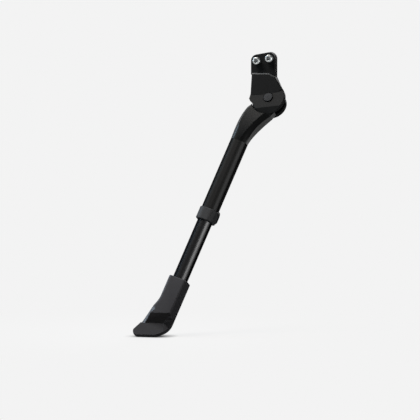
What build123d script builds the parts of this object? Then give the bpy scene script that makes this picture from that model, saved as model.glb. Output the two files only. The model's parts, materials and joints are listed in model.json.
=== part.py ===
"""Adjustable side kickstand for a bicycle's rear stay, modelled as it is built.

Frame: the origin lies midway between the two mounting holes on the mounting face.
+Z is up as fitted, -Y points away from the bicycle, +X points to its rear.
All sizes are in millimetres and degrees.
"""
from build123d import *
import os
from math import atan2, cos, degrees, radians, sin, tan

# Mounting pad and its two socket-head screws
hole_spacing = 18.0
stay_rise = 10.7
screw_shank = 5.4
screw_thread = 6.0
screw_hole_play = 0.3
screw_reach = 8.0
screw_head = 10.0
screw_head_height = 6.0
screw_key = 5.0
screw_key_depth = 3.2
pad_thick = 9.0
pad_forward = 18.3
pad_rear = 16.6
pad_above_holes = 8.4
pad_corner = 9.0
pad_edge = 0.8

# Neck between pad and hinge
neck_top_drop = 20.0
neck_forward = 15.2
neck_forward_low = 17.6
neck_rear = 17.2
neck_corner_run = 8.0
neck_corner_fall = 4.4
neck_flare = 23.0
neck_flare_drop = 50.0
neck_proud = 3.5
neck_face_turn = 5.0
neck_back_bulge = 9.0
neck_back_start = 5.0
neck_back_drop = 39.5
neck_edge = 1.2

# Hinge: place of the hub's centre, tilt of its axis, and its two cheeks
hub_rear = 9.3
hub_out = 7.1
hub_drop = 56.8
axis_tilt = 33.0
front_cheek_radius = 23.0
rear_cheek_radius = 19.6
front_cheek = 5.9
rear_cheek = 7.5
cheek_edge = 0.8
cheek_bevel_drop = 14.5
cheek_bevel_slope = 28.0
cheek_bevel_turn = 9.0
fold_angle = 105.0
stop_play = 1.0

# Tongue of the leg arm, its bush and washers
tongue_radius = 16.5
tongue_thick = 8.0
tongue_play = 0.6
shoulder_gap = 0.8
shoulder_edge = 1.0
root_forward_angle = -158.5
root_rear_angle = -61.0
washer_thick = 1.0
washer_radius = 11.0
running_play = 0.05
bush_wall = 2.0

# Pivot bolt and nut
bolt_shank = 10.0
bolt_head = 12.6
bolt_head_height = 1.4
bolt_thread = 8.0
nut_across = 13.0
nut_height = 4.0
nut_recess = 17.0
nut_sink = 0.4

# Leg: place of the arm's lower end and the slope of the leg
leg_top_rear = -25.3
leg_top_out = 34.9
leg_top_drop = 110.7
leg_forward_lean = 17.3
leg_outward_lean = 22.9

# Arm: its sections from hinge to tube
arm_head_width = 37.0
arm_head_thick = 22.0
arm_head_reach = 18.8
arm_head_turn = -121.0
arm_waist_width = 29.7
arm_waist_thick = 22.5
arm_waist_reach = 46.7
arm_waist_angle = -123.4
arm_waist_set = 2.0
arm_waist_turn = -123.8
arm_head_corner = 6.5
arm_waist_corner = 6.0
spigot_length = 24.0
spigot_play = 0.05

# Outer tube
outer_wall = 1.0
outer_flat = 4.2
outer_length = 114.0

# Lock collar and its clamp
collar_wall = 1.3
collar_corner = 9.5
collar_above_end = 12.4
collar_below_end = 4.6
collar_edge = 0.8
collar_lip_play = 0.3
boss_width = 24.4
boss_height = 19.5
boss_rise = 3.0
boss_reach = 5.4
boss_taper = 0.86
clamp_thread = 5.0
clamp_head = 8.5
clamp_head_height = 5.0
clamp_key = 4.0
clamp_key_depth = 2.5
clamp_pad_size = 6.0
clamp_pad_thick = 2.6
clamp_hole_play = 0.1

# Inner tube, guide bush and foot
inner_tube_size = 20.8
tube_play = 0.5
inner_wall = 1.8
inner_top_below = 72.0
inner_in_foot = 46.0
key_flat_depth = 0.8
key_flat_start = 8.0
guide_play = 0.1
guide_head = 6.0
guide_plug = 12.0
guide_hole = 9.0
ground_drop = 366.5
foot_height = 83.9
foot_wall = 2.6
foot_edge = 4.2
foot_top_edge = 1.6
foot_bend_height = 54.0
foot_shin_reach = 17.1
foot_shin_height = 37.0
foot_instep_reach = 22.3
foot_instep_height = 18.2
foot_toe_reach = 30.0
foot_toe_sink = 2.6
foot_toe_slope = 0.4
foot_toe_round = 8.0
foot_heel_round = 20.0
foot_notch_height = 31.4
foot_notch_lip = 13.0
foot_notch_panel = 19.0
foot_notch_depth = 6.0
foot_panel_side = 4.5
foot_panel_bevel = 50.0
foot_groove_depth = 1.4
foot_groove_width = 2.6
foot_groove_pitch = 8.0
foot_groove_count = 4

# Small fasteners on the leg
rivet_head = 8.0
rivet_head_height = 1.8
rivet_shank = 4.8
rivet_below = 12.0
foot_screw_head = 7.6
foot_screw_head_height = 2.4
foot_screw_thread = 4.0
foot_screw_depth = 7.0
foot_screw_below = 24.0

# Over-centre spring and its two posts
spring_wire = 1.6
spring_sides = 8
spring_coil = 8.0
spring_pitch = 2.8
spring_off_hub = 5.6
spring_eye_play = 0.3
post_size = 5.0
post_head = 8.0
post_head_thick = 1.6
post_sink = 4.0
hub_post_reach = 14.0
leg_post_reach = 40.0
leg_post_angle = -127.0

# Derived values
hub_half = tongue_thick / 2 + washer_thick + 2 * running_play
hub_front = hub_half + front_cheek
hub_back = hub_half + rear_cheek
slot_radius = tongue_radius + tongue_play
shoulder_radius = front_cheek_radius + shoulder_gap
bush_size = bolt_shank + 2 * running_play + 2 * bush_wall
neck_front = pad_thick + neck_proud
swing_start = root_forward_angle - stop_play
swing_end = root_rear_angle + fold_angle + stop_play
outer_bore = inner_tube_size + tube_play
outer_width = outer_bore + 2 * outer_wall
outer_corner = (outer_width - outer_flat) / 2
collar_width = outer_width + 2 * collar_wall
collar_top = outer_length - collar_above_end
collar_end = outer_length + collar_below_end
clamp_below = (collar_top + collar_end) / 2 - boss_rise
far = 400.0
upward = (Align.CENTER, Align.CENTER, Align.MIN)
downward = (Align.CENTER, Align.CENTER, Align.MAX)

axis_out = Vector(0, -cos(radians(axis_tilt)), sin(radians(axis_tilt)))
leg_up = Vector(tan(radians(leg_forward_lean)), tan(radians(leg_outward_lean)), 1).normalized()
hinge = Plane(origin=(hub_rear, -hub_out, -hub_drop), x_dir=(1, 0, 0), z_dir=axis_out)
leg = Plane(origin=(leg_top_rear, -leg_top_out, -leg_top_drop),
            x_dir=Vector(0, 1, 0).cross(leg_up), z_dir=leg_up)
ground_below = (ground_drop - leg_top_drop) / leg_up.Z
foot_top_below = ground_below - foot_height
foot_width = inner_tube_size + 2 * foot_wall
foot_depth = inner_tube_size + 2 * foot_wall


def hinge_axis():
    """Line of the hinge, pointing away from the bicycle."""
    return Axis(hinge.origin, hinge.z_dir)


def polar(reach, angle):
    """Point in a plane at a distance and an angle from its origin."""
    return (reach * cos(radians(angle)), reach * sin(radians(angle)))


def wedge(start, end, reach, low, high):
    """Sector about the hinge axis between two angles, as a solid between two heights."""
    span = end - start
    steps = 6
    rim = [polar(reach, start + span * i / steps) for i in range(steps + 1)]
    face = make_face(Polyline((0, 0), *rim, close=True))
    return hinge * extrude(Pos(0, 0, low) * face, high - low)


def drum(radius, low, high):
    """Cylinder about the hinge axis between two heights."""
    return hinge * Pos(0, 0, low) * Cylinder(radius, high - low, align=upward)


def rod(radius, low, high):
    """Cylinder about the leg's axis between two heights."""
    return leg * Pos(0, 0, low) * Cylinder(radius, high - low, align=upward)


def block(width, corner, low, high):
    """Square bar with round corners along the leg's axis."""
    return leg * extrude(Pos(0, 0, low) * RectangleRounded(width, width, corner), high - low)


def from_behind(below, start):
    """Frame on the leg's rear side: its z axis points straight to the rear of the leg."""
    return leg * Pos(0, start, -below) * Rot(-90, 0, 0)


def cap_screw(thread, length, head, height, key, key_depth):
    """Socket-head cap screw: under-head plane at z = 0, head upwards."""
    body = Cylinder(head / 2, height, align=upward)
    body = chamfer(body.edges().sort_by(Axis.Z)[-1], height / 12)
    body += Cylinder(thread / 2, length, align=downward)
    socket = Pos(0, 0, height - key_depth) * RegularPolygon(key / 2, 6, major_radius=False)
    return body - extrude(socket, key_depth)


def spring_line():
    """Ends of the spring in the hinge plane: on the hub's post and on the leg's post."""
    hub_post_angle = leg_post_angle + fold_angle / 2 + 180
    return Vector(*polar(hub_post_reach, hub_post_angle)), Vector(*polar(leg_post_reach, leg_post_angle))


# Bracket

def make_pad():
    top = pad_above_holes / cos(radians(stay_rise))
    slope = tan(radians(stay_rise))
    outline = make_face(Polyline((-pad_forward, -neck_top_drop - pad_edge),
                                 (pad_rear, -neck_top_drop - neck_back_start),
                                 (pad_rear, top + slope * pad_rear),
                                 (-pad_forward, top - slope * pad_forward), close=True))
    outline = fillet(outline.vertices().sort_by(Axis.Y)[-2:], pad_corner)
    pad = extrude(Plane.XZ * outline, pad_thick)
    return chamfer(pad.faces().sort_by(Axis.Y)[0].edges(), pad_edge)


def make_neck():
    bottom = -hub_drop
    outline = make_face(Polyline((-neck_forward_low, bottom), (neck_flare, bottom),
                                 (neck_flare, -neck_flare_drop),
                                 (neck_rear, -neck_top_drop - neck_corner_fall),
                                 (pad_rear - neck_corner_run, -neck_top_drop),
                                 (-neck_forward, -neck_top_drop), close=True))
    front = extrude(Plane.XZ.offset(-neck_back_bulge) * outline, neck_front + neck_back_bulge + neck_proud)
    side = make_face(Polyline((0, -neck_top_drop), (-far, -neck_top_drop), (-far, bottom),
                              (neck_back_bulge, bottom), (neck_back_bulge, -neck_back_drop),
                              (0, -neck_top_drop - neck_back_start), close=True))
    body = front & extrude(Plane.YZ * side, far, both=True)
    face = Pos(hub_rear, -neck_front, 0) * Rot(0, 0, neck_face_turn) * Box(
        far, far, far, align=(Align.CENTER, Align.MAX, Align.CENTER))
    body -= face
    body -= wedge(swing_start, swing_end, far, -far, far)
    body = chamfer(body.faces().sort_by(Axis.Y)[0].edges(), neck_edge)
    return body & (hinge * Pos(0, 0, -hub_back) * Box(far, far, far, align=upward))


def make_hub():
    front = drum(front_cheek_radius, -hub_half, hub_front)
    front = chamfer(front.edges().filter_by(GeomType.CIRCLE).sort_by(hinge_axis())[-1], cheek_edge)
    bevel = hinge * Rot(0, 0, cheek_bevel_turn) * Pos(0, -cheek_bevel_drop, hub_front) * Rot(
        cheek_bevel_slope, 0, 0) * Box(far, far, far, align=(Align.CENTER, Align.MAX, Align.MIN))
    rear = drum(rear_cheek_radius, -hub_back, -hub_half)
    rear = chamfer(rear.edges().filter_by(GeomType.CIRCLE).sort_by(hinge_axis())[0], cheek_edge)
    return front + make_cheek_skirt() - bevel + rear


def make_cheek_skirt():
    """Front edge of the cheek, carried straight down from the neck until it meets the round part."""
    lowest = polar(front_cheek_radius, swing_start)
    face = make_face(Polyline((0, 0), lowest, (-hub_rear - neck_forward_low, lowest[1] / 3),
                              (-hub_rear - neck_forward, front_cheek_radius), close=True))
    return hinge * extrude(Pos(0, 0, hub_half) * face, front_cheek)


def make_slot():
    return drum(slot_radius, -hub_half, hub_half) + wedge(swing_start, swing_end, far, -hub_half, hub_half)


def make_mount_bracket():
    body = make_pad() + make_neck() + make_hub() - make_slot()
    for x, z in screw_places():
        body -= Plane.XZ * Pos(x, z, 0) * Cylinder(screw_thread / 2 + screw_hole_play, far)
    body -= drum(bolt_shank / 2 + running_play, 0, far)
    body -= drum(bolt_thread / 2 + running_play, -far, 0)
    body -= drum(nut_recess / 2, -far, -hub_back + nut_height + nut_sink)
    hub_end, _ = spring_line()
    body -= hinge * Pos(hub_end.X, hub_end.Y, -hub_back) * Cylinder(post_size / 2, 2 * post_sink)
    return body


def screw_places():
    """Centres of the two mounting holes in front view, on a line that rises with the stay."""
    return [polar(side * hole_spacing / 2, stay_rise) for side in (-1, 1)]


def make_mount_screws():
    screw = cap_screw(screw_shank, pad_thick, screw_head, screw_head_height, screw_key, screw_key_depth)
    screw += Pos(0, 0, -pad_thick) * Cylinder(screw_thread / 2, screw_reach, align=downward)
    return Compound(children=[Plane.XZ.offset(pad_thick) * Pos(x, z, 0) * screw for x, z in screw_places()])


def make_pivot_bolt():
    head = drum(bolt_head / 2, hub_front, hub_front + bolt_head_height)
    head = chamfer(head.edges().sort_by(hinge_axis())[-1], bolt_head_height / 5)
    shank = drum(bolt_shank / 2, -hub_half, hub_front)
    return head + shank + drum(bolt_thread / 2, -hub_back + nut_sink, -hub_half)


def make_pivot_nut():
    nut = extrude(RegularPolygon(nut_across / 2, 6, major_radius=False), nut_height)
    return hinge * Pos(0, 0, -hub_back + nut_sink) * (nut - Cylinder(bolt_thread / 2, far))


def make_spring_post(place, base, tip):
    """Stud with a flat head, from its sunk foot to its tip, along the hinge axis."""
    stem = Cylinder(post_size / 2, base - tip, align=upward)
    head = Cylinder(post_head / 2, post_head_thick, align=upward)
    head = chamfer(head.edges().sort_by(Axis.Z)[0], post_head_thick / 4)
    return hinge * Pos(place.X, place.Y, tip) * (stem + head)


# Leg

def make_arm_body():
    """Casting between hinge and tube through three sections: flat corners above, round ones at the tube."""
    head_at = polar(arm_head_reach, arm_head_turn)
    waist_at = polar(arm_waist_reach, arm_waist_angle)
    head = Rectangle(arm_head_width, arm_head_thick)
    head = chamfer(head.vertices(), arm_head_corner)
    head = hinge * Pos(*head_at, 0) * Rot(0, 0, arm_head_turn + 90) * Rot(90, 0, 0) * head
    waist = Rectangle(arm_waist_width, arm_waist_thick)
    waist = chamfer(waist.vertices(), arm_waist_corner)
    waist = hinge * Pos(*waist_at, -arm_waist_set) * Rot(0, 0, arm_waist_turn + 90) * Rot(90, 0, 0) * waist
    end = leg * RectangleRounded(outer_width, outer_width, outer_corner)
    root = extrude(head, arm_head_reach, dir=hinge.origin - head.center())
    return loft([head, waist, end]) + root


def make_leg_arm():
    body = make_arm_body() & wedge(root_forward_angle, root_rear_angle, far, -far, far)
    body -= drum(shoulder_radius, tongue_thick / 2, far)
    body -= drum(shoulder_radius, -far, -tongue_thick / 2)
    body -= make_shoulder_edge()
    body += drum(tongue_radius, -tongue_thick / 2, tongue_thick / 2)
    body -= drum(bush_size / 2, -far, far)
    body += rod(outer_bore / 2 - spigot_play, -spigot_length, 0)
    body -= from_behind(rivet_below, 0) * Pos(0, 0, outer_bore / 2) * Cylinder(rivet_shank / 2, outer_bore)
    _, leg_end = spring_line()
    body -= hinge * Pos(leg_end.X, leg_end.Y, -far / 2 - hub_front + post_sink) * Cylinder(post_size / 2, far)
    return body


def make_shoulder_edge():
    """Cone about the hinge that bevels the arm's front edge beside the cheek."""
    start = arm_head_thick / 2 - shoulder_edge
    height = arm_head_thick / 2
    return hinge * Pos(0, 0, start) * Cone(shoulder_radius, shoulder_radius + height, height, align=upward)


def make_pivot_bush():
    bush = drum(bush_size / 2, -tongue_thick / 2, tongue_thick / 2)
    return bush - drum(bolt_shank / 2 + running_play, -far, far)


def make_washer(low):
    return drum(washer_radius, low, low + washer_thick) - drum(bolt_shank / 2 + 2 * running_play, -far, far)


def make_outer_tube():
    tube = block(outer_width, outer_corner, -outer_length, 0) - rod(outer_bore / 2, -far, far)
    tube -= from_behind(rivet_below, 0) * Pos(0, 0, outer_bore / 2) * Cylinder(rivet_shank / 2, outer_bore)
    return tube - clamp_hole(clamp_pad_size / 2 + clamp_hole_play, outer_width)


def clamp_hole(radius, length):
    """Hole from the leg's axis to its rear side at the clamp's height."""
    return from_behind(clamp_below, 0) * Cylinder(radius, length, align=upward)


def make_tube_rivet():
    start = outer_width / 2
    head = Pos(0, 0, start) * Cylinder(rivet_head / 2, rivet_head_height, align=upward)
    head = chamfer(head.edges().sort_by(Axis.Z)[-1], rivet_head_height * 0.6)
    shank = Cylinder(rivet_shank / 2, start, align=upward)
    return from_behind(rivet_below, 0) * (head + shank)


def make_lock_collar():
    body = block(collar_width, collar_corner, -collar_end, -collar_top)
    ends = body.faces().sort_by(Axis(leg.origin, leg.z_dir))
    body = chamfer(ends[0].edges() + ends[-1].edges(), collar_edge)
    root = RectangleRounded(boss_width, boss_height, boss_width / 5)
    tip = RectangleRounded(boss_width * boss_taper, boss_height * boss_taper, boss_width / 5)
    face = collar_width / 2 + boss_reach
    boss = loft([Pos(0, 0, outer_width / 2) * root, Pos(0, 0, face) * tip])
    body += from_behind(clamp_below, 0) * boss
    body -= block(outer_width, outer_corner, -outer_length, far)
    body -= rod(inner_tube_size / 2 + collar_lip_play, -far, far)
    body -= clamp_hole(clamp_pad_size / 2 + clamp_hole_play, clamp_seat())
    body -= clamp_hole(clamp_thread / 2, far)
    return body


def clamp_seat():
    """Distance from the leg's axis to the outer face of the clamp pad."""
    return inner_tube_size / 2 - key_flat_depth + running_play + clamp_pad_thick


def make_clamp_pad():
    pad = Pos(0, 0, clamp_seat()) * Cylinder(clamp_pad_size / 2, clamp_pad_thick, align=downward)
    return from_behind(clamp_below, 0) * pad


def make_clamp_screw():
    face = collar_width / 2 + boss_reach
    length = face - clamp_seat()
    screw = cap_screw(clamp_thread, length, clamp_head, clamp_head_height, clamp_key, clamp_key_depth)
    return from_behind(clamp_below, face) * screw


# Lower leg

def make_inner_tube():
    low = -foot_top_below - inner_in_foot
    radius = inner_tube_size / 2
    tube = rod(radius, low, -inner_top_below)
    flat = leg * Pos(0, radius - key_flat_depth, -inner_top_below - key_flat_start) * Box(
        inner_tube_size, inner_tube_size, foot_top_below - inner_top_below - 2 * key_flat_start,
        align=(Align.CENTER, Align.MIN, Align.MAX))
    return tube - flat - rod(radius - inner_wall, -far, far) - foot_screw_hole()


def make_guide_bush():
    head = rod(outer_bore / 2 - guide_play, -inner_top_below, -inner_top_below + guide_head)
    head = chamfer(head.edges().filter_by(GeomType.CIRCLE), guide_head / 6)
    plug = rod(inner_tube_size / 2 - inner_wall, -inner_top_below - guide_plug, -inner_top_below)
    return head + plug - rod(guide_hole / 2, -far, far)


def foot_screw_hole():
    hole = Cylinder(foot_screw_thread / 2, foot_depth / 2, align=upward)
    return from_behind(foot_top_below + foot_screw_below, 0) * hole


def make_ground():
    """Everything below the surface that the foot stands on."""
    return Pos(leg.origin.X, leg.origin.Y, -ground_drop) * Box(far, far, far, align=downward)


def make_foot_body():
    """Boot before its cuts: a sleeve that sweeps forward into a toe, with a round heel and sole edge."""
    half = foot_width / 2
    top = -foot_top_below
    bend = Vector(-half, foot_bend_height - ground_below)
    shin = Vector(-foot_shin_reach, foot_shin_height - ground_below)
    instep = Vector(-foot_instep_reach, foot_instep_height - ground_below)
    toe = Vector(-foot_toe_reach, -ground_below - foot_toe_sink)
    low = toe.Y - foot_depth
    front_edge = Spline(bend, shin, instep, toe, tangents=((0, -1), (-foot_toe_slope, -1)))
    outline = make_face([Line((-half, top), bend), front_edge, Line(toe, (toe.X, low)),
                         Line((toe.X, low), (half, low)), Line((half, low), (half, top)),
                         Line((half, top), (-half, top))])
    boot = extrude(Rot(90, 0, 0) * outline, foot_depth / 2, both=True)
    boot -= leg.location.inverse() * make_ground()
    sole = boot.faces().sort_by(Axis.Z)[0]
    cross_edges = sole.edges().filter_by(lambda e: abs(e.center().Y) < foot_edge)
    boot = fillet(cross_edges.sort_by(Axis.X)[0], foot_toe_round)
    back = boot.faces().sort_by(Axis.X)[-1]
    boot = fillet(back.edges().sort_by(Axis.Z)[0], foot_heel_round)
    rims = boot.edges().filter_by(lambda e: abs(abs(e.center().Y) - foot_depth / 2) < 0.01)
    boot = fillet(rims.filter_by(lambda e: e.center().Z < top - foot_edge), foot_edge)
    return leg * fillet(boot.faces().sort_by(Axis.Z)[-1].edges(), foot_top_edge)


def ground_turn():
    """Angle in the leg's front view between its cross axis and the ground."""
    return degrees(atan2(-leg.x_dir.Z, leg.z_dir.Z))


def make_foot_notch():
    """Hollow across the front, level with the ground: lip above, toe panel below, bevel beside it."""
    low = -foot_notch_lip - foot_notch_panel
    profile = make_face(Polyline((0, 0), (foot_notch_depth, -foot_notch_lip), (0, low),
                                 (-foot_notch_depth, low), (-foot_notch_depth, 0), close=True))
    hollow = extrude(Plane.YZ * profile, far / 2, both=True)
    fall = foot_notch_lip / foot_notch_depth * foot_depth
    below_lip = make_face(Polyline((0, 0), (foot_depth, -fall), (foot_depth, -far), (-foot_depth, -far),
                                   (-foot_depth, 0), close=True))
    run = foot_depth / tan(radians(foot_panel_bevel))
    beside_panel = make_face(Polyline((foot_panel_side - run, -foot_depth), (far, -foot_depth),
                                      (far, foot_depth), (foot_panel_side + run, foot_depth), close=True))
    bevel = extrude(Plane.YZ * below_lip, far / 2, both=True) & extrude(beside_panel, far, both=True)
    place = leg * Pos(0, -foot_depth / 2, foot_notch_height - ground_below) * Rot(0, -ground_turn(), 0)
    return [place * hollow, place * bevel]


def make_sole_grooves():
    """Row of grooves across the sole."""
    sole = leg.from_local_coords(Vector(0, 0, -ground_below))
    groove = Box(foot_groove_width, far, 2 * foot_groove_depth)
    shifts = [(i - foot_groove_count / 2 - 0.5) * foot_groove_pitch for i in range(foot_groove_count)]
    return [Pos(sole.X + shift, sole.Y, sole.Z) * groove for shift in shifts]


def make_foot_boot():
    boot = make_foot_body()
    for cut in make_foot_notch() + make_sole_grooves():
        boot -= cut
    boot -= rod(inner_tube_size / 2, -foot_top_below - inner_in_foot, far)
    return boot - foot_screw_hole()


def make_foot_screw():
    face = foot_depth / 2
    head = Pos(0, 0, face) * Cylinder(foot_screw_head / 2, foot_screw_head_height, align=upward)
    head = chamfer(head.edges().sort_by(Axis.Z)[-1], foot_screw_head_height * 0.5)
    shank = Pos(0, 0, face) * Cylinder(foot_screw_thread / 2, foot_screw_depth, align=downward)
    return from_behind(foot_top_below + foot_screw_below, 0) * (head + shank)


# Over-centre spring

def make_fold_spring():
    hub_end, leg_end = spring_line()
    reach = leg_end - hub_end
    height = -hub_back - spring_off_hub
    along = hinge.from_local_coords(leg_end) - hinge.from_local_coords(hub_end)
    start = hinge.from_local_coords(Vector(hub_end.X, hub_end.Y, height))
    frame = Plane(origin=start, x_dir=axis_out, z_dir=along)
    eye = post_size / 2 + spring_eye_play + spring_wire / 2
    mean = (spring_coil - spring_wire) / 2
    margin = eye + mean
    turns = int((reach.length - 2 * margin) / spring_pitch)
    coil_length = reach.length - 2 * margin
    wire = RegularPolygon(spring_wire / 2, spring_sides)
    ring = revolve(Plane.XZ * Pos(eye, 0) * wire, Axis.Z)
    path = Helix(coil_length / turns, coil_length, mean)
    coil = sweep(Plane(path @ 0, z_dir=path % 0) * wire, path=path, is_frenet=True)
    spring = Pos(0, 0, margin) * coil
    for end in (0, reach.length):
        inward = 1 if end == 0 else -1
        link = Line((mean, 0, end + inward * margin), (0, 0, end + inward * eye))
        knee = Pos(*(link @ 0)) * Sphere(spring_wire / 2)
        rod_end = sweep(Plane(link @ 0, z_dir=link % 0) * wire, path=link)
        loop = Pos(0, 0, end) * Rot(0, 90, 0) * ring
        spring = spring + knee + rod_end + loop
    return frame * spring


def write(name, shape):
    shape.label = name
    export_step(shape, f"parts/{name}.step")
    print(name, round(shape.volume, 1))


def main():
    os.makedirs("parts", exist_ok=True)
    hub_end, leg_end = spring_line()
    post_tip = -hub_back - spring_off_hub - spring_wire - post_head_thick
    write("mount_bracket", make_mount_bracket())
    write("mount_screws", make_mount_screws())
    write("pivot_bolt", make_pivot_bolt())
    write("pivot_nut", make_pivot_nut())
    write("hub_spring_post", make_spring_post(hub_end, -hub_back + post_sink, post_tip))
    write("leg_arm", make_leg_arm())
    write("pivot_bush", make_pivot_bush())
    write("front_washer", make_washer(tongue_thick / 2 + running_play))
    write("rear_washer", make_washer(-tongue_thick / 2 - running_play - washer_thick))
    write("leg_spring_post", make_spring_post(leg_end, -hub_front + post_sink, post_tip))
    write("fold_spring", make_fold_spring())
    write("outer_tube", make_outer_tube())
    write("tube_rivet", make_tube_rivet())
    write("lock_collar", make_lock_collar())
    write("clamp_pad", make_clamp_pad())
    write("clamp_screw", make_clamp_screw())
    write("inner_tube", make_inner_tube())
    write("guide_bush", make_guide_bush())
    write("foot_boot", make_foot_boot())
    write("foot_screw", make_foot_screw())


if __name__ == "__main__":
    main()
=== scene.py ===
import json
from math import atan2, cos, pi, radians, sin
import bmesh
import bpy
from mathutils import Matrix, Vector


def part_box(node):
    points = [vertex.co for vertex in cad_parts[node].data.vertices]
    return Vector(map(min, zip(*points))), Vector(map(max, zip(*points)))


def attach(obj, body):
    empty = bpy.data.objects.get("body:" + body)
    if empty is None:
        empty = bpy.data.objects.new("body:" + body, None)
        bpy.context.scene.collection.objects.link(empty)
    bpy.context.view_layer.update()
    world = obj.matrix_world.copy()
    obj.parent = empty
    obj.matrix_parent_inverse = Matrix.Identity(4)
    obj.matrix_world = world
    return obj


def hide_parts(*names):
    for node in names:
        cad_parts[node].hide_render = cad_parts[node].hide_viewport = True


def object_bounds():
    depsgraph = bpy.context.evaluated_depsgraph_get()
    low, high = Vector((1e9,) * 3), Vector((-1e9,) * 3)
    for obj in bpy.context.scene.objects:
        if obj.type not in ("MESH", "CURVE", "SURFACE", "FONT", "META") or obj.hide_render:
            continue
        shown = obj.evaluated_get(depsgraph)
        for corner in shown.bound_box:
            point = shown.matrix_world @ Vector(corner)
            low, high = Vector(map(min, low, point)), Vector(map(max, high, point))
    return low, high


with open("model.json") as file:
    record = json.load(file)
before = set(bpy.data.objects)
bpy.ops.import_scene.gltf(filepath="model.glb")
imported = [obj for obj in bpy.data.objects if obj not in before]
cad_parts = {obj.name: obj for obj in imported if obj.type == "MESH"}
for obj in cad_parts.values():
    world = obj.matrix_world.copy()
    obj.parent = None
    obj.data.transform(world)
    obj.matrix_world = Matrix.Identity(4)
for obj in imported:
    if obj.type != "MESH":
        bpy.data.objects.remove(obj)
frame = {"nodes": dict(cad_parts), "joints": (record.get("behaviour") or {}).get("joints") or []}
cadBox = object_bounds()
nodes = frame["nodes"]
joints = {j["name"]: j for j in frame["joints"]}
mm = 0.001
print("frame loaded:", len(nodes), "nodes")

# directions of the stand, read from its joints
hingeAxis = Vector(joints["fold"]["axis"])                 # out of the front cheek
legDown = Vector(joints["length"]["axis"])
legSide = Vector((0, 1, 0)).cross(-legDown).normalized()   # to the rear of the bicycle
legBack = (-legDown).cross(legSide)                        # to the bicycle, away from the viewer
outwards = Vector((0, -1, 0))                              # the way the frame screws' heads face


def linear(hexColour):
    channels = [int(hexColour[i:i + 2], 16) / 255 for i in (1, 3, 5)]
    return tuple(c / 12.92 if c <= 0.04045 else ((c + 0.055) / 1.055) ** 2.4 for c in channels) + (1.0,)


def addNode(tree, kind, settings=None, **links):
    # links go to an input by its name, with _ for a space, or by its number, as i0
    node = tree.nodes.new(kind)
    for name, value in (settings or {}).items():
        if name in node.inputs:
            node.inputs[name].default_value = value
        else:
            setattr(node, name, value)
    for name, source in links.items():
        key = int(name[1:]) if name[1:].isdigit() else name.replace("_", " ")
        tree.links.new(source, node.inputs[key])
    return node


def newMaterial(name):
    material = bpy.data.materials.new(name)
    material.use_nodes = True
    tree = material.node_tree
    tree.nodes.clear()
    return material, tree


def finishMaterial(tree, surface):
    addNode(tree, "ShaderNodeOutputMaterial", Surface=surface.outputs[0])


def mixTones(tree, share, first, second):
    tone = addNode(tree, "ShaderNodeMix", {"data_type": "RGBA"}, i0=share)
    for index, colour in ((6, first), (7, second)):        # the colour inputs A and B
        if isinstance(colour, str):
            tone.inputs[index].default_value = linear(colour)
        else:
            tree.links.new(colour, tone.inputs[index])
    return tone.outputs[2]


def unevenRoughness(tree, pattern, finish):
    ends = {"To Min": finish["roughness"] - finish["spread"], "To Max": finish["roughness"] + finish["spread"]}
    return addNode(tree, "ShaderNodeMapRange", ends, Value=pattern).outputs[0]


def slantGloss(tree, finish, shader):
    # at a slant the rough skins mirror less and the arm's flowing coat more; an even gloss stays on its socket
    if finish["gloss"] == finish["slant"]:
        return
    slant = addNode(tree, "ShaderNodeLayerWeight")
    gloss = addNode(tree, "ShaderNodeMapRange", {"From Min": finish["start"], "From Max": finish["fade"],
                                                 "To Min": finish["gloss"], "To Max": finish["slant"]},
                    Value=slant.outputs["Facing"])
    tree.links.new(gloss.outputs[0], shader.inputs["Specular IOR Level"])


# the cosine of the turn at a softened edge where rubbing begins to show, and where it is full
softEdge = {"samples": 8, "rubStart": 0.985, "rubFull": 0.8}


def roundEdges(tree, sizeMm):
    # softened edges for the light to catch, and how far each spot is turned by them
    soft = addNode(tree, "ShaderNodeBevel", {"samples": softEdge["samples"], "Radius": sizeMm * mm})
    sharp = addNode(tree, "ShaderNodeNewGeometry")
    turn = addNode(tree, "ShaderNodeVectorMath", {"operation": "DOT_PRODUCT"}, i0=soft.outputs[0],
                   i1=sharp.outputs["Normal"])
    rub = addNode(tree, "ShaderNodeMapRange", {"From Min": softEdge["rubStart"], "From Max": softEdge["rubFull"]},
                  Value=turn.outputs["Value"])
    return soft.outputs[0], rub.outputs[0]


# turns a pattern so that its Z axis runs along the leg
legTurn = Matrix((legSide, legBack, -legDown)).to_euler()

# powder coat on cast aluminium: sprayed and baked, near black, with a soft sheen, fine orange peel and thin edges
bracketCoat = {"name": "powderCoatedBracket", "colour": "#1d1e1f", "mottle": "#232425", "edge": "#28292b",
               "roughness": 0.42, "spread": 0.05, "peelMm": 0.9, "peelDepthMm": 0.06, "peelStrength": 0.35,
               "mottleMm": 14, "edgeMm": 0.5, "gloss": 0.04, "slant": 0.003, "start": 0.0, "fade": 0.66}
# the neck takes a greyer copy of the coat as painted light, and the front cheek a blacker one as painted shade
litNeckCoat = {**bracketCoat, "name": "paintedLightNeckCoat", "colour": "#262728", "mottle": "#2d2e2f"}
shadedCheekCoat = {**bracketCoat, "name": "paintedShadeCheekCoat", "colour": "#18191a", "mottle": "#1e1f20", "gloss": 0.03}
# the ledge of the neck is painted greyer still, as a painted highlight along it, and is glossier
highlightLedgeCoat = {**bracketCoat, "name": "paintedHighlightLedgeCoat", "colour": "#404244", "mottle": "#494b4d", "edge": "#4c4e50",
             "peelDepthMm": 0.04, "mottleMm": 6, "edgeMm": 0.3, "gloss": 0.2, "slant": 0.2}
# the arm's coat is thicker and flows out glossier on its rounded faces
armCoat = {**bracketCoat, "name": "powderCoatedArm", "colour": "#0d0e0f", "mottle": "#141516", "roughness": 0.4,
           "mottleMm": 16, "gloss": 0.048, "slant": 0.44, "start": 0.2, "fade": 0.6}


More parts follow.
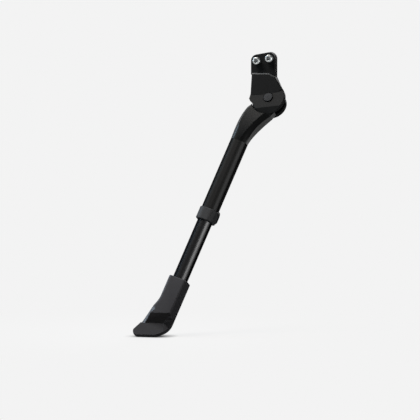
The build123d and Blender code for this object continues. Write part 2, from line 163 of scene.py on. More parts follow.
def powderCoatedAluminium(coat):
    material, tree = newMaterial(coat["name"])
    place = addNode(tree, "ShaderNodeTexCoord").outputs["Object"]
    soft, rub = roundEdges(tree, coat["edgeMm"])
    cloud = addNode(tree, "ShaderNodeTexNoise", {"Scale": 1 / (coat["mottleMm"] * mm), "Detail": 3}, Vector=place)
    peel = addNode(tree, "ShaderNodeTexNoise", {"Scale": 1 / (coat["peelMm"] * mm), "Detail": 2}, Vector=place)
    tone = mixTones(tree, cloud.outputs["Fac"], coat["colour"], coat["mottle"])
    tone = mixTones(tree, rub, tone, coat["edge"])
    rough = unevenRoughness(tree, cloud.outputs["Fac"], coat)
    skin = addNode(tree, "ShaderNodeBump", {"Strength": coat["peelStrength"], "Distance": coat["peelDepthMm"] * mm},
                   Height=peel.outputs["Fac"], Normal=soft)
    paint = addNode(tree, "ShaderNodeBsdfPrincipled", {"Specular IOR Level": coat["gloss"]}, Base_Color=tone,
                    Roughness=rough, Normal=skin.outputs[0])
    slantGloss(tree, coat, paint)
    finishMaterial(tree, paint)
    return material


# black anodised drawn tube: satin, with long die lines down the leg, drawn coarser than real so that they show
satinTube = {"name": "satinAnodisedTube", "colour": "#0f0f10", "line": "#181818", "roughness": 0.45, "spread": 0.05,
             "lineMm": 0.9, "lineRunMm": 70, "lineDepthMm": 0.02, "lineStrength": 0.4, "gloss": 0.2,
             "slant": 0.003, "start": 0.0, "fade": 0.37}
# the sliding tube is polished before it is anodised, so it is glossier and its lines are fainter
glossTube = {**satinTube, "name": "brightAnodisedTube", "colour": "#0c0c0e", "line": "#121214", "roughness": 0.3,
             "lineMm": 0.7, "lineRunMm": 90, "lineDepthMm": 0.01, "gloss": 0.66, "fade": 0.31}


def anodisedTube(tube):
    material, tree = newMaterial(tube["name"])
    place = addNode(tree, "ShaderNodeTexCoord").outputs["Object"]
    down = addNode(tree, "ShaderNodeMapping", {"vector_type": "TEXTURE", "Rotation": legTurn}, Vector=place)
    drawn = addNode(tree, "ShaderNodeMapping", {"Scale": (1, 1, tube["lineMm"] / tube["lineRunMm"])},
                    Vector=down.outputs[0])
    lines = addNode(tree, "ShaderNodeTexNoise", {"Scale": 1 / (tube["lineMm"] * mm), "Detail": 3},
                    Vector=drawn.outputs[0])
    tone = mixTones(tree, lines.outputs["Fac"], tube["colour"], tube["line"])
    rough = unevenRoughness(tree, lines.outputs["Fac"], tube)
    skin = addNode(tree, "ShaderNodeBump", {"Strength": tube["lineStrength"], "Distance": tube["lineDepthMm"] * mm},
                   Height=lines.outputs["Fac"])
    metal = addNode(tree, "ShaderNodeBsdfPrincipled", {"Specular IOR Level": tube["gloss"]}, Base_Color=tone,
                    Roughness=rough, Normal=skin.outputs[0])
    slantGloss(tree, tube, metal)
    finishMaterial(tree, metal)
    return material


# glass-filled nylon, moulded against a spark-eroded tool: charcoal and matt, with soft edges and a fine grain,
# which is drawn coarser than real so that it shows
footNylon = {"name": "mouldedFootNylon", "colour": "#424246", "flow": "#4a4a4d", "edge": "#4c4d50", "ior": 1.53,
             "roughness": 0.5, "spread": 0.06, "grainMm": 0.55, "grainDepthMm": 0.05, "grainStrength": 0.3,
             "flowMm": 22, "edgeMm": 0.6, "gloss": 0.05, "slant": 0.003, "start": 0.0, "fade": 0.66}
# the toe panel and the hollow above it are painted blacker as shade, and the hollow is moulded smoother;
# the instep shines where a shoe pushes the stand down
shadedToeNylon = {**footNylon, "name": "paintedShadeToeNylon", "colour": "#2b2b2e", "flow": "#323235"}
instepNylon = {**footNylon, "name": "shoeRubbedNylon", "roughness": 0.42, "gloss": 0.22, "slant": 0.22}
shadedHollowNylon = {**footNylon, "name": "paintedShadeHollowNylon", "colour": "#222224", "flow": "#282829", "edge": "#38383a",
               "roughness": 0.42, "grainDepthMm": 0.01}
collarNylon = {**footNylon, "name": "mouldedCollarNylon", "colour": "#3c3d3f", "flow": "#444547", "edge": "#4c4e50",
               "roughness": 0.46, "grainMm": 0.5, "grainDepthMm": 0.04, "flowMm": 12, "edgeMm": 0.5, "gloss": 0.08}
# natural nylon of the washers and the guide: milky, soft-edged
plainNylon = {**footNylon, "name": "naturalNylon", "colour": "#cfccc0", "flow": "#c4c1b4", "edge": "#d8d5ca",
              "grainMm": 0.8, "grainDepthMm": 0.03, "flowMm": 9, "edgeMm": 0.3, "gloss": 0.5, "slant": 0.5}


def mouldedNylon(nylon):
    material, tree = newMaterial(nylon["name"])
    place = addNode(tree, "ShaderNodeTexCoord").outputs["Object"]
    soft, rub = roundEdges(tree, nylon["edgeMm"])
    grain = addNode(tree, "ShaderNodeTexVoronoi", {"Scale": 1 / (nylon["grainMm"] * mm)}, Vector=place)
    flow = addNode(tree, "ShaderNodeTexNoise", {"Scale": 1 / (nylon["flowMm"] * mm), "Detail": 4}, Vector=place)
    tone = mixTones(tree, flow.outputs["Fac"], nylon["colour"], nylon["flow"])
    tone = mixTones(tree, rub, tone, nylon["edge"])
    rough = unevenRoughness(tree, flow.outputs["Fac"], nylon)
    skin = addNode(tree, "ShaderNodeBump",
                   {"Strength": nylon["grainStrength"], "Distance": nylon["grainDepthMm"] * mm},
                   Height=grain.outputs["Distance"], Normal=soft)
    plastic = addNode(tree, "ShaderNodeBsdfPrincipled", {"IOR": nylon["ior"], "Specular IOR Level": nylon["gloss"]},
                      Base_Color=tone, Roughness=rough, Normal=skin.outputs[0])
    slantGloss(tree, nylon, plastic)
    finishMaterial(tree, plastic)
    return material


# plated and plain metals: turned or rolled, then plated, with a faint cloudy bloom
zincPlate = {"name": "zincPlatedSteel", "colour": "#acb0b0", "bloom": "#bfc2c1", "roughness": 0.36, "spread": 0.07,
             "bloomMm": 2.2}
# a darker, rougher copy of the plating, as painted shade in sockets and on the heads' sides
shadedZinc = {**zincPlate, "name": "paintedShadeZinc", "colour": "#7a7e80", "bloom": "#868a8c", "roughness": 0.55,
            "bloomMm": 1.0}
blackOxide = {**zincPlate, "name": "blackOxideSteel", "colour": "#151617", "bloom": "#191a1c", "roughness": 0.48,
              "bloomMm": 1.6}
springWire = {**zincPlate, "name": "zincSpringWire", "colour": "#8d9092", "bloom": "#a2a5a6", "bloomMm": 1.2}
# pressed from powder: its pores are drawn coarser than real so that they show
sinteredBronze = {**zincPlate, "name": "sinteredBronze", "colour": "#9a7444", "bloom": "#7d5c35", "roughness": 0.5,
                  "bloomMm": 0.6}


def platedMetal(metal):
    material, tree = newMaterial(metal["name"])
    place = addNode(tree, "ShaderNodeTexCoord").outputs["Object"]
    bloom = addNode(tree, "ShaderNodeTexNoise", {"Scale": 1 / (metal["bloomMm"] * mm), "Detail": 3}, Vector=place)
    tone = mixTones(tree, bloom.outputs["Fac"], metal["colour"], metal["bloom"])
    rough = unevenRoughness(tree, bloom.outputs["Fac"], metal)
    plate = addNode(tree, "ShaderNodeBsdfPrincipled", {"Metallic": 1.0}, Base_Color=tone, Roughness=rough)
    finishMaterial(tree, plate)
    return material


bracketPaint = powderCoatedAluminium(bracketCoat)
highlightLedgePaint = powderCoatedAluminium(highlightLedgeCoat)
litNeckPaint = powderCoatedAluminium(litNeckCoat)
shadedCheekPaint = powderCoatedAluminium(shadedCheekCoat)
armPaint = powderCoatedAluminium(armCoat)
satin = anodisedTube(satinTube)
gloss = anodisedTube(glossTube)
footSkin = mouldedNylon(footNylon)
shadedToeSkin = mouldedNylon(shadedToeNylon)
shadedHollowSkin = mouldedNylon(shadedHollowNylon)
instepSkin = mouldedNylon(instepNylon)
collarSkin = mouldedNylon(collarNylon)
zinc = platedMetal(zincPlate)
shadedZincRecess = platedMetal(shadedZinc)
oxide = platedMetal(blackOxide)
wire = platedMetal(springWire)
bronze = platedMetal(sinteredBronze)
plainSkin = mouldedNylon(plainNylon)

finishes = {
    "mount_bracket": bracketPaint, "leg_arm": armPaint, "outer_tube": satin, "inner_tube": gloss,
    "foot_boot": footSkin, "lock_collar": collarSkin, "pivot_nut": zinc, "hub_spring_post": zinc,
    "leg_spring_post": zinc, "fold_spring": wire, "pivot_bush": bronze, "clamp_pad": bronze,
    "front_washer": plainSkin, "rear_washer": plainSkin, "guide_bush": plainSkin, "mount_screws": zinc,
    "pivot_bolt": oxide, "tube_rivet": oxide, "clamp_screw": oxide, "foot_screw": oxide,
}
for name, material in finishes.items():
    nodes[name].data.materials.clear()
    nodes[name].data.materials.append(material)
print("finishes set:", len(finishes))

# metres within which points are one, in new meshes and in copies of the frame's, and degrees under which
# faces of such a copy are one and over which an edge stays sharp
meshing = {"gap": 1e-6, "frameGap": 2e-6, "flatAngle": 0.4, "sharpAngle": 38}


def pointsOf(node):
    return [v.co.copy() for v in nodes[node].data.vertices]


def standOn(points, axis):
    # frame on the middle line of a turned piece: Z along the axis, origin at its low end
    side = axis.orthogonal().normalized()
    across = axis.cross(side)
    lows = [min(p.dot(d) for p in points) for d in (side, across, axis)]
    highs = [max(p.dot(d) for p in points) for d in (side, across, axis)]
    place = Matrix((side, across, axis)).transposed().to_4x4()
    place.translation = side * (lows[0] + highs[0]) / 2 + across * (lows[1] + highs[1]) / 2 + axis * lows[2]
    return place


def turnProfile(profile, steps):
    # spins a line of (radius, height) pairs in mm about Z
    bm = bmesh.new()
    line = [bm.verts.new((radius * mm, 0, height * mm)) for radius, height in profile]
    edges = [bm.edges.new(pair) for pair in zip(line, line[1:])]
    bmesh.ops.spin(bm, geom=line + edges, cent=(0, 0, 0), axis=(0, 0, 1), angle=2 * pi, steps=steps, use_merge=True)
    bmesh.ops.remove_doubles(bm, verts=bm.verts, dist=meshing["gap"])
    return bm


def ringVerts(bm, radius, low, high):
    gap = meshing["gap"]
    return [v for v in bm.verts
            if abs(v.co.xy.length - radius * mm) < gap and low * mm - gap < v.co.z < high * mm + gap]


def pushToHexagon(bm, radius, low, high):
    # the round rings of that radius become a hexagon with that distance from middle to flat
    for v in ringVerts(bm, radius, low, high):
        turn = (atan2(v.co.y, v.co.x) + pi / 6) % (pi / 3) - pi / 6
        v.co.xy = v.co.xy / cos(turn)


def pressKnurl(bm, radius, low, high, depth, steps):
    # every second line of the head's side is pressed in, which leaves straight ridges to grip
    for v in ringVerts(bm, radius, low, high):
        if round(atan2(v.co.y, v.co.x) / (2 * pi) * steps) % 2:
            v.co.xy = v.co.xy * (1 - depth / radius)


def cutThread(bm, thread):
    # a ridge spun up the core, a closed wedge in section that starts and flattens at shares of the pitch
    core, crest, pitch = thread["core"], thread["crest"], thread["pitch"]
    start, flat = thread["ridge"]
    wedge = [(core, start), (crest, flat), (crest, 1 - flat), (core, 1 - start)]
    corners = [bm.verts.new((radius * mm, 0, (thread["low"] + share * pitch) * mm)) for radius, share in wedge]
    face = bm.faces.new(corners)
    bmesh.ops.spin(bm, geom=corners + list(face.edges) + [face], cent=(0, 0, 0), axis=(0, 0, 1),
                   angle=2 * pi * thread["turns"], steps=thread["turns"] * thread["stepsPerTurn"],
                   dvec=(0, 0, pitch * mm / thread["stepsPerTurn"]))


def crown(s):
    # rounded upper edge of a head, from (inset, drop) pairs
    return [(s["head"] - inset, s["top"] - drop) for inset, drop in s["crown"]]


def dome(inner, outer, low, high, steps):
    # quarter round from the inner edge on top out and down to the rim
    turns = [i * pi / 2 / steps for i in range(steps + 1)]
    return [(inner + (outer - inner) * sin(turn), low + (high - low) * cos(turn)) for turn in turns]


def socketHead(s):
    # half section of a socket head, from the dip in the key's floor out and down to the shank
    key, floor, head, top, under = s["key"], s["floor"], s["head"], s["top"], s["under"]
    low, high = s["knurl"][:2]
    inset, rise = s["underEdge"]
    socket = [(0, floor - s["dip"]), (key, floor), (key, top - s["mouth"]), (key * s["flare"], top)]
    return socket + crown(s) + [(head, high), (head, low), (head, under + rise), (head - inset, under),
                                (s["shank"], under)]


def mergedCopy(node):
    # closed copy of a node, whose own mesh is loose triangles
    bm = bmesh.new()
    bm.from_mesh(nodes[node].data)
    bmesh.ops.remove_doubles(bm, verts=bm.verts, dist=meshing["frameGap"])
    bmesh.ops.dissolve_limit(bm, angle_limit=radians(meshing["flatAngle"]), verts=bm.verts, edges=bm.edges)
    return bm


def carve(bm, cutters):
    # takes closed cutters away from a closed piece
    carriers = []
    for shape in [bm] + cutters:
        bmesh.ops.recalc_face_normals(shape, faces=shape.faces)
        mesh = bpy.data.meshes.new("carving")
        shape.to_mesh(mesh)
        shape.free()
        carriers.append(bpy.data.objects.new("carving", mesh))
        bpy.context.scene.collection.objects.link(carriers[-1])
    for cutter in carriers[1:]:
        cut = carriers[0].modifiers.new("cut", "BOOLEAN")
        cut.operation = "DIFFERENCE"
        cut.solver = "EXACT"
        cut.object = cutter
    bpy.context.view_layer.update()
    carved = bmesh.new()
    carved.from_object(carriers[0], bpy.context.evaluated_depsgraph_get())
    for carrier in carriers:
        mesh = carrier.data
        bpy.data.objects.remove(carrier)
        bpy.data.meshes.remove(mesh)
    bmesh.ops.remove_doubles(carved, verts=carved.verts, dist=meshing["gap"])
    openEdges = [e for e in carved.edges if len(e.link_faces) != 2]
    print("carved:", len(carved.faces), "faces,", len(openEdges), "open edges")
    return carved


def showPiece(mesh, name, node, materials, body, sharpAngle=meshing["sharpAngle"]):
    # the finished mesh becomes an object that stands for the node
    mesh.shade_smooth()
    mesh.set_sharp_from_angle(angle=radians(sharpAngle))
    for material in materials:
        mesh.materials.append(material)
    piece = bpy.data.objects.new(name, mesh)
    bpy.context.scene.collection.objects.link(piece)
    even = piece.modifiers.new("evenNormals", "WEIGHTED_NORMAL")
    even.keep_sharp = True
    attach(piece, body)
    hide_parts(node)


def fitPiece(meshes, name, node, materials, body, sharpAngle=meshing["sharpAngle"]):
    # puts the shapes in their places, joins them in one mesh and shows it
    whole = bmesh.new()
    for bm, place in meshes:
        bmesh.ops.recalc_face_normals(bm, faces=bm.faces)
        bmesh.ops.transform(bm, matrix=place, verts=bm.verts)
        part = bpy.data.meshes.new("part")
        bm.to_mesh(part)
        bm.free()
        whole.from_mesh(part)
        bpy.data.meshes.remove(part)
    mesh = bpy.data.meshes.new(name)
    whole.to_mesh(mesh)
    whole.free()
    showPiece(mesh, name, node, materials, body, sharpAngle)


# M6 socket-head cap screws, 23 mm over all: rounded and knurled head, hex socket, threaded end;
# the socket and everything below the head's crown take a darker, rougher plating as painted shade
frameScrew = {"steps": 96, "head": 5.0, "under": 17.0, "top": 23.0, "underEdge": (0.3, 0.5),
              "crown": [(1.4, 0), (0.75, 0.12), (0.25, 0.5), (0, 1.2)], "knurl": (17.9, 21.5, 0.14),
              "key": 2.5, "floor": 19.8, "dip": 0.7, "mouth": 0.35, "flare": 1.2, "shadeKeyShare": 1.12, "unshadedDepth": 0.9,
              "shank": 2.7, "end": [(2.7, 8.4), (2.42, 8.0), (2.42, 0.45), (1.95, 0), (0, 0)],
              "thread": {"core": 2.3, "crest": 3.0, "pitch": 1.0, "low": 0.0, "turns": 8, "stepsPerTurn": 24,
                         "ridge": (0.06, 0.44)}}


def makeFrameScrews():
    s = frameScrew
    points = pointsOf("mount_screws")
    plates = [zinc, shadedZincRecess]
    made = []
    for side in (-1, 1):
        bm = turnProfile(socketHead(s) + s["end"], s["steps"])
        pushToHexagon(bm, s["key"], s["floor"], s["top"])
        pressKnurl(bm, s["head"], *s["knurl"], s["steps"])
        cutThread(bm, s["thread"])
        for face in bm.faces:
            middle = face.calc_center_median()
            if middle.xy.length < s["key"] * s["shadeKeyShare"] * mm or middle.z < (s["top"] - s["unshadedDepth"]) * mm:
                face.material_index = plates.index(shadedZincRecess)
        made.append((bm, standOn([p for p in points if p.x * side > 0], outwards)))
    fitPiece(made, "frameScrews", "mount_screws", plates, "bracket")


# shoulder bolt of the hinge, 24.6 mm over all: low flat head with a lathe centre, turned down to its thread
hingeBolt = {"steps": 72, "head": 6.3, "under": 23.2, "top": 24.6, "centre": [(0, 0.2), (0.5, 0.06), (0.7, 0)],
             "crown": [(0.5, 0), (0.15, 0.12), (0, 0.45)], "shank": 5.0, "thread": 4.0, "threadEnd": 7.1,
             "chamfer": 0.6}


def makeHingeBolt():
    b = hingeBolt
    thread, chamfer = b["thread"], b["chamfer"]
    profile = [(radius, b["top"] - depth) for radius, depth in b["centre"]] + crown(b) + [
        (b["head"], b["under"]), (b["shank"], b["under"]), (b["shank"], b["threadEnd"]), (thread, b["threadEnd"]),
        (thread, chamfer), (thread - chamfer, 0), (0, 0)]
    bm = turnProfile(profile, b["steps"])
    place = standOn(pointsOf("pivot_bolt"), hingeAxis)
    fitPiece([(bm, place)], "hingeBolt", "pivot_bolt", [oxide], "bracket")


# hex nut in the rear cheek, 13 mm across flats: corners cut at about 30 degrees, countersunk bore
hingeNut = {"steps": 72, "flat": 6.5, "height": 4.0, "bore": 4.0, "sink": 0.4, "cut": 0.55, "cutIn": 0.05}


def makeHingeNut():
    n = hingeNut
    flat, height, cut, bore, sink = n["flat"], n["height"], n["cut"], n["bore"], n["sink"]
    rim = flat - n["cutIn"]
    profile = [(bore, sink), (bore + sink, 0), (rim, 0), (flat, cut), (flat, height - cut), (rim, height),
               (bore + sink, height), (bore, height - sink), (bore, sink)]
    bm = turnProfile(profile, n["steps"])
    pushToHexagon(bm, flat, cut, height - cut)
    place = standOn(pointsOf("pivot_nut"), hingeAxis)
    fitPiece([(bm, place)], "hingeNut", "pivot_nut", [zinc], "bracket")


# M5 socket-head clamp screw behind the collar
lockScrew = {"steps": 84, "head": 4.25, "under": 6.1, "top": 11.1, "crown": [(0.75, 0), (0.3, 0.1), (0, 0.6)],
             "key": 2.0, "floor": 8.6, "dip": 0.5, "mouth": 0.3, "flare": 1.2, "knurl": (6.8, 9.9, 0.12),
             "underEdge": (0.25, 0.4), "shank": 2.5, "end": [(2.5, 0.5), (2.0, 0), (0, 0)]}


def makeLockScrew():
    s = lockScrew
    bm = turnProfile(socketHead(s) + s["end"], s["steps"])
    pushToHexagon(bm, s["key"], s["floor"], s["top"])
    pressKnurl(bm, s["head"], *s["knurl"], s["steps"])
    place = standOn(pointsOf("clamp_screw"), legBack)
    fitPiece([(bm, place)], "lockScrew", "clamp_screw", [oxide], "leg")


# button-head screw that holds the foot
footScrew = {"steps": 48, "head": 3.8, "under": 7.0, "top": 9.4, "rim": 0.5, "rimIn": 0.15, "domeSteps": 7,
             "key": 1.25, "floor": 8.1, "dip": 0.3, "mouth": 0.25, "flare": 1.25, "shank": 2.0, "chamfer": 0.8}


def makeFootScrew():
    s = footScrew
    key, head, under, top, shank = s["key"], s["head"], s["under"], s["top"], s["shank"]
    profile = [(0, s["floor"] - s["dip"]), (key, s["floor"]), (key, top - s["mouth"])]
    profile += dome(key * s["flare"], head, under + s["rim"], top, s["domeSteps"])
    profile += [(head - s["rimIn"], under), (shank, under), (shank, s["chamfer"]), (shank - s["chamfer"], 0), (0, 0)]
    bm = turnProfile(profile, s["steps"])
    pushToHexagon(bm, key, s["floor"], top)
    place = standOn(pointsOf("foot_screw"), legBack)
    fitPiece([(bm, place)], "footScrew", "foot_screw", [oxide], "lower_leg")


# blind rivet behind the outer tube: domed flange, with the broken mandrel sunk in its bore
tubeRivet = {"steps": 48, "head": 4.0, "height": 1.8, "rim": 0.35, "domeSteps": 6, "shank": 2.4, "bore": 1.3,
             "mouth": 0.2, "mandrel": [(0, 0.55), (0.95, 0.6), (1.15, 0.75), (1.15, 1.3), (1.3, 1.3)]}


def makeTubeRivet():
    r = tubeRivet
    points = pointsOf("tube_rivet")
    reach = (max(p.dot(legBack) for p in points) - min(p.dot(legBack) for p in points)) / mm
    under = reach - r["height"]
    profile = [(radius, reach - depth) for radius, depth in r["mandrel"]] + [(r["bore"], reach - r["mouth"])]
    profile += dome(r["bore"] + r["mouth"], r["head"], under + r["rim"], reach, r["domeSteps"])
    profile += [(r["head"], under), (r["shank"], under), (r["shank"], 0), (0, 0)]
    bm = turnProfile(profile, r["steps"])
    fitPiece([(bm, standOn(points, legBack))], "tubeRivet", "tube_rivet", [oxide], "leg")


# over-centre spring: one round wire, a loop round each post and a stretched coil between
foldSpring = {"wire": 0.8, "coil": 3.2, "eye": 3.6, "pitch": 2.8, "pointsPerTurn": 12, "gap": 55, "eyePoints": 12,
              "lead": 0.55, "wireFineness": 3, "lineFineness": 3}


def makeFoldSpring():
    s = foldSpring
    coil, eye, lead, perTurn = s["coil"], s["eye"], s["lead"], s["pointsPerTurn"]
    start = Vector(joints["spring_swing"]["pos_m"])
    end = standOn(pointsOf("leg_spring_post"), hingeAxis).translation
    end = end + hingeAxis * (start - end).dot(hingeAxis)
    along = (end - start).normalized()
    reach = (end - start).length / mm
    margin = eye + coil
    turns = int((reach - 2 * margin) / s["pitch"])
    rise = (reach - 2 * margin) / turns
    loop = [radians(s["gap"] + i * (360 - s["gap"]) / (s["eyePoints"] - 1)) for i in range(s["eyePoints"])]
    route = [(0, eye * sin(a), eye * cos(a)) for a in loop]
    route.append((coil * lead, 0, eye + coil * (1 - lead)))
    for i in range(turns * perTurn + 1):
        a = 2 * pi * i / perTurn
        route.append((coil * cos(a), coil * sin(a), margin + rise * i / perTurn))
    route.append((coil * lead, 0, reach - eye - coil * (1 - lead)))
    route += [(0, -eye * sin(a), reach - eye * cos(a)) for a in reversed(loop)]
    curve = bpy.data.curves.new("foldSpring", "CURVE")
    curve.dimensions = "3D"
    curve.bevel_depth = s["wire"] * mm
    curve.bevel_resolution = s["wireFineness"]
    curve.resolution_u = s["lineFineness"]
    curve.use_fill_caps = True
    line = curve.splines.new("NURBS")
    line.points.add(len(route) - 1)
    for point, place in zip(line.points, route):
        point.co = (*(Vector(place) * mm), 1)
    line.order_u = 3
    line.use_endpoint_u = True
    carrier = bpy.data.objects.new("springLine", curve)
    bpy.context.scene.collection.objects.link(carrier)
    bpy.context.view_layer.update()
    mesh = bpy.data.meshes.new_from_object(carrier.evaluated_get(bpy.context.evaluated_depsgraph_get()))
    bpy.data.objects.remove(carrier)
    place = Matrix((hingeAxis, along.cross(hingeAxis), along)).transposed().to_4x4()
    mesh.transform(Matrix.Translation(start) @ place)
    mesh.name = "foldSpring"
    showPiece(mesh, "foldSpring", "fold_spring", [wire], "spring")


# the casting of the bracket: its neck runs out to the cheek's rim at the rear end of the crease between them,
# a groove runs round the hinge bolt's head, and the neck's top ledge is lifted and painted lighter as a highlight;
# the neck is painted greyer as painted light and the front cheek blacker as painted shade
bracketCasting = {"corner": ((14.5, -12.2, -45.0), (21.5, -9.5, -39.0)), "runOut": 6.5,
                  "creaseRise": (1, 0.0875, 0.1348), "groove": (6.35, 7.25), "grooveDepth": 1.0, "grooveReach": 3.0,
                  "front": -9.05, "ledge": (-26.0, -18.5), "ledgeFacing": 0.6, "ledgeLift": 1.5,
                  "neck": (-48.0, -20.0), "neckFacing": 0.86, "sameFacing": 0.99, "sharpAngle": 25}


def makeBracketCasting():
    b = bracketCasting
    paints = [bracketPaint, highlightLedgePaint, litNeckPaint, shadedCheekPaint]
    bm = mergedCopy("mount_bracket")
    low, high = (Vector(c) * mm for c in b["corner"])
    corner = [v for v in bm.verts if all(low[i] < v.co[i] < high[i] for i in range(3))]
    bmesh.ops.translate(bm, vec=Vector(b["creaseRise"]) * b["runOut"] * mm, verts=corner)
    print("bracket corner vertices moved:", len(corner))
    low, high = hingeBolt["under"] - b["grooveDepth"], hingeBolt["under"] + b["grooveReach"]
    inner, outer = b["groove"]
    ring = turnProfile([(inner, low), (outer, low), (outer, high), (inner, high), (inner, low)], hingeBolt["steps"])
    bmesh.ops.transform(ring, matrix=standOn(pointsOf("pivot_bolt"), hingeAxis), verts=ring.verts)
    bm = carve(bm, [ring])
    bm.normal_update()
    ledge = [f for f in bm.faces
             if f.normal.z > b["ledgeFacing"] and f.calc_center_median().y < b["front"] * mm
             and b["ledge"][0] * mm < f.calc_center_median().z < b["ledge"][1] * mm]
    # the ledge's faces take the greyer painted-highlight coat
    for face in ledge:
        face.material_index = paints.index(highlightLedgePaint)
    # faces of the front cheek take the blacker painted-shade coat, and those of the neck the greyer painted-light
    # coat
    for face in bm.faces:
        middle = face.calc_center_median()
        if face.normal.dot(hingeAxis) > b["sameFacing"]:
            face.material_index = paints.index(shadedCheekPaint)
        elif (face.normal.dot(outwards) > b["neckFacing"] and middle.y < b["front"] * mm
              and b["neck"][0] * mm < middle.z < b["neck"][1] * mm):
            face.material_index = paints.index(litNeckPaint)
    rim = list({v for f in ledge for v in f.verts})
    bmesh.ops.translate(bm, vec=(0, 0, b["ledgeLift"] * mm), verts=rim)
    print("ledge faces:", len(ledge), "vertices lifted:", len(rim))
    fitPiece([(bm, Matrix())], "bracketCasting", "mount_bracket", paints, "bracket", b["sharpAngle"])


# the moulded foot: the front edges of its instep and its heel are cut back to slanting facets,
# its toe panel and the hollow above it, up to the instep, take blacker skins as painted shade, the hollow a smoother
# one
footMoulding = {
    "facets": {
        "instep": {"facing": (-0.481, -0.748, 0.457), "reach": 15.0,
                   "corners": [(-104.7, -137.5, -316.1), (-105.7, -142.6, -328.9), (-119.8, -145.5, -348.6),
                               (-129.1, -140.3, -349.8), (-112.0, -136.1, -325.0)]},
        "heel": {"facing": (0.759, -0.393, 0.518), "reach": 25.0,
                 "corners": [(-95.0, -139.0, -344.1), (-88.2, -157.4, -368.2), (-74.2, -132.6, -369.8),
                             (-80.6, -115.6, -347.6)]},
    },
    "toe": (0.093, -0.778, 0.622), "hollow": (0.119, -0.991, -0.067), "hollowFrom": -117.0, "sameFacing": 0.995,
    "sharpAngle": 25,
}


def makeFootMoulding():
    f = footMoulding
    skins = [footSkin, shadedToeSkin, shadedHollowSkin, instepSkin]
    toe, hollow, instep = Vector(f["toe"]), Vector(f["hollow"]), Vector(f["facets"]["instep"]["facing"])
    cutters = []
    for facet in f["facets"].values():
        cutter = bmesh.new()
        for corner in facet["corners"]:
            cutter.verts.new(Vector(corner) * mm)
            cutter.verts.new((Vector(corner) + Vector(facet["facing"]) * facet["reach"]) * mm)
        bmesh.ops.convex_hull(cutter, input=cutter.verts)
        cutters.append(cutter)
    bm = carve(mergedCopy("foot_boot"), cutters)
    bm.normal_update()
    # the toe panel and the hollow take the blacker painted-shade skins
    for face in bm.faces:
        if face.normal.dot(toe) > f["sameFacing"]:
            face.material_index = skins.index(shadedToeSkin)
        elif face.normal.dot(hollow) > f["sameFacing"] and face.calc_center_median().x > f["hollowFrom"] * mm:
            face.material_index = skins.index(shadedHollowSkin)
        elif face.normal.dot(instep) > f["sameFacing"]:
            face.material_index = skins.index(instepSkin)
    fitPiece([(bm, Matrix())], "footMoulding", "foot_boot", skins, "lower_leg", f["sharpAngle"])


makeBracketCasting()
makeFootMoulding()
makeFrameScrews()
makeHingeBolt()
makeHingeNut()
makeLockScrew()
makeFootScrew()
makeTubeRivet()
makeFoldSpring()
print("hardware made")

# camera at the photo's angle, far off with a long lens
viewer = {"azimuth": 20.5, "elevation": 5.0, "lens": 400, "sensor": 36, "frameWidth": 0.567, "clipEnd": 60,
          "aim": (-0.0702, -0.2029), "aimFrom": (0, -0.015, 0)}


def makeCamera():
    a, e = radians(viewer["azimuth"]), radians(viewer["elevation"])
    right = Vector((cos(a), sin(a), 0))
    up = Vector((-sin(a) * sin(e), cos(a) * sin(e), cos(e)))
    back = right.cross(up)
    target = Vector(viewer["aimFrom"]) + right * viewer["aim"][0] + up * viewer["aim"][1]
    data = bpy.data.cameras.new("viewer")
    data.lens = viewer["lens"]
    data.sensor_width = viewer["sensor"]
    data.clip_end = viewer["clipEnd"]
    camera = bpy.data.objects.new("viewer", data)
    bpy.context.scene.collection.objects.link(camera)
    distance = viewer["frameWidth"] * viewer["lens"] / viewer["sensor"]
    turn = Matrix((right, up, back)).transposed().to_4x4()
    camera.matrix_world = Matrix.Translation(target + back * distance) @ turn
    bpy.context.scene.camera = camera


makeCamera()
print("camera set")

# pale floor that turns up into a low wall all round
studio = {"paper": "#d2d2d2", "bounce": "#6a6a6a", "seen": "#f3f3f3", "floorRadius": 6.0, "cove": 1.5, "coveSteps": 8,
          "wall": 0.6, "rimSteps": 96, "shadowFrom": 0.03, "shadowReach": 0.35, "shadowShare": 0.08, "paintedShadowMm": 15,
          "paintedShadowSamples": 16, "world": "#ffffff", "worldLevel": 0.1}
# lamps as soft boxes: where each is from the stand, how its long side lies, and its size in metres;
# the two on the right are dim cards that show only as gleams, the one behind lights the hidden side
lamps = {
    "key": {"towards": (-0.34, -0.26, 0.90), "along": (1, 0, 0), "distance": 1.6, "size": (0.7, 0.6), "power": 35.0,
            "colour": "#fffaf4", "card": False},
    "right": {"towards": (0.92, -0.28, 0.05), "along": (0.2, 0.88, -0.43), "distance": 1.5, "size": (1.1, 0.5),
              "power": 11.5, "colour": "#ffffff", "card": True},
    "edge": {"towards": (0.964, 0.267, 0.0), "along": (0, 0, 1), "distance": 1.5, "size": (0.9, 0.4), "power": 14.0,
             "colour": "#ffffff", "card": True},
    "left": {"towards": (-0.87, -0.10, 0.48), "along": (0, 0, 1), "distance": 1.5, "size": (0.9, 0.4), "power": 14.0,
             "colour": "#cfeaff", "card": False},
    "behind": {"towards": (0.02, 0.94, 0.34), "along": (0, 0, 1), "distance": 1.8, "size": (1.0, 0.8), "power": 30.0,
               "colour": "#ffffff", "card": False},
}


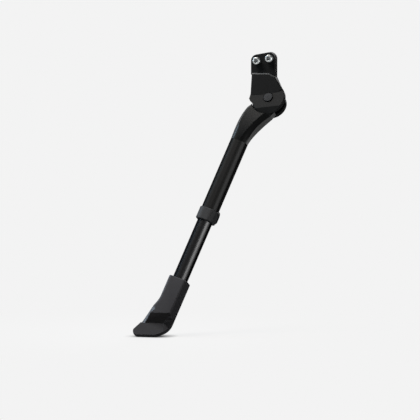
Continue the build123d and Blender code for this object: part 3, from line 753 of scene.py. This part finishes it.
def makeFloor():
    bm = bmesh.new()
    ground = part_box("foot_boot")[0].z
    profile = [(0, 0), (studio["floorRadius"], 0)]
    for i in range(1, studio["coveSteps"] + 1):
        turn = i * pi / 2 / studio["coveSteps"]
        profile.append((studio["floorRadius"] + studio["cove"] * sin(turn), studio["cove"] * (1 - cos(turn))))
    profile.append((studio["floorRadius"] + studio["cove"], studio["cove"] + studio["wall"]))
    line = [bm.verts.new((x, 0, z + ground)) for x, z in profile]
    edges = [bm.edges.new(pair) for pair in zip(line, line[1:])]
    bmesh.ops.spin(bm, geom=line + edges, cent=(0, 0, 0), axis=(0, 0, 1), angle=2 * pi,
                   steps=studio["rimSteps"], use_merge=True)
    bmesh.ops.remove_doubles(bm, verts=bm.verts, dist=meshing["gap"])
    bmesh.ops.recalc_face_normals(bm, faces=bm.faces)
    mesh = bpy.data.meshes.new("floor")
    bm.to_mesh(mesh)
    bm.free()
    mesh.shade_smooth()
    floor = bpy.data.objects.new("floor", mesh)
    bpy.context.scene.collection.objects.link(floor)
    mesh.materials.append(floorPaper(ground))


def floorPaper(ground):
    # seamless paper: lit near the object so that its shadow shows, and an even pale tone beyond;
    # round the foot, ambient occlusion darkens the glowing tone as a painted contact shadow
    material, tree = newMaterial("seamlessPaper")
    middle = (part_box("foot_boot")[0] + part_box("foot_boot")[1]) / 2
    path = addNode(tree, "ShaderNodeLightPath")
    bounce = addNode(tree, "ShaderNodeMath", {"operation": "MAXIMUM"}, i0=path.outputs["Is Glossy Ray"],
                     i1=path.outputs["Is Transmission Ray"])
    seen = addNode(tree, "ShaderNodeMath", {"operation": "MAXIMUM"}, i0=path.outputs["Is Camera Ray"],
                   i1=bounce.outputs[0])
    place = addNode(tree, "ShaderNodeTexCoord").outputs["Object"]
    away = addNode(tree, "ShaderNodeVectorMath", {"operation": "DISTANCE"}, i0=place)
    away.inputs[1].default_value = (middle.x, middle.y, ground)
    near = addNode(tree, "ShaderNodeMapRange",
                   {"interpolation_type": "SMOOTHSTEP", "From Min": studio["shadowFrom"],
                    "From Max": studio["shadowReach"], "To Min": studio["shadowShare"], "To Max": 0.0},
                   Value=away.outputs["Value"])
    paper = addNode(tree, "ShaderNodeBsdfDiffuse", {"Color": linear(studio["paper"])})
    bounced = addNode(tree, "ShaderNodeBsdfDiffuse", {"Color": linear(studio["bounce"])})
    # ambient occlusion darkens the glowing tone near the foot: a painted contact shadow
    paintedContactShadow = addNode(tree, "ShaderNodeAmbientOcclusion",
                    {"Color": linear(studio["seen"]), "Distance": studio["paintedShadowMm"] * mm,
                     "samples": studio["paintedShadowSamples"]})
    tone = addNode(tree, "ShaderNodeEmission", Color=paintedContactShadow.outputs["Color"])
    shown = addNode(tree, "ShaderNodeMixShader", i0=near.outputs[0], i1=tone.outputs[0], i2=paper.outputs[0])
    both = addNode(tree, "ShaderNodeMixShader", i0=seen.outputs[0], i1=bounced.outputs[0], i2=shown.outputs[0])
    finishMaterial(tree, both)
    return material


def makeLamps():
    middle = (cadBox[0] + cadBox[1]) / 2
    for name, lamp in lamps.items():
        data = bpy.data.lights.new(name, "AREA")
        data.shape = "RECTANGLE"
        data.size, data.size_y = lamp["size"]
        data.energy = lamp["power"]
        data.color = linear(lamp["colour"])[:3]
        light = bpy.data.objects.new(name, data)
        bpy.context.scene.collection.objects.link(light)
        towards = Vector(lamp["towards"]).normalized()
        across = towards.cross(Vector(lamp["along"])).normalized()
        turn = Matrix((across.cross(towards), across, towards)).transposed().to_4x4()
        light.visible_camera = False
        light.visible_diffuse = not lamp["card"]
        light.matrix_world = Matrix.Translation(middle + towards * lamp["distance"]) @ turn
    world = bpy.data.worlds.new("studio")
    world.use_nodes = True
    world.node_tree.nodes.clear()
    air = addNode(world.node_tree, "ShaderNodeBackground",
                  {"Color": linear(studio["world"]), "Strength": studio["worldLevel"]})
    addNode(world.node_tree, "ShaderNodeOutputWorld", Surface=air.outputs[0])
    bpy.context.scene.world = world
    bpy.context.scene.view_settings.view_transform = "Standard"


makeFloor()
makeLamps()
print("studio set")
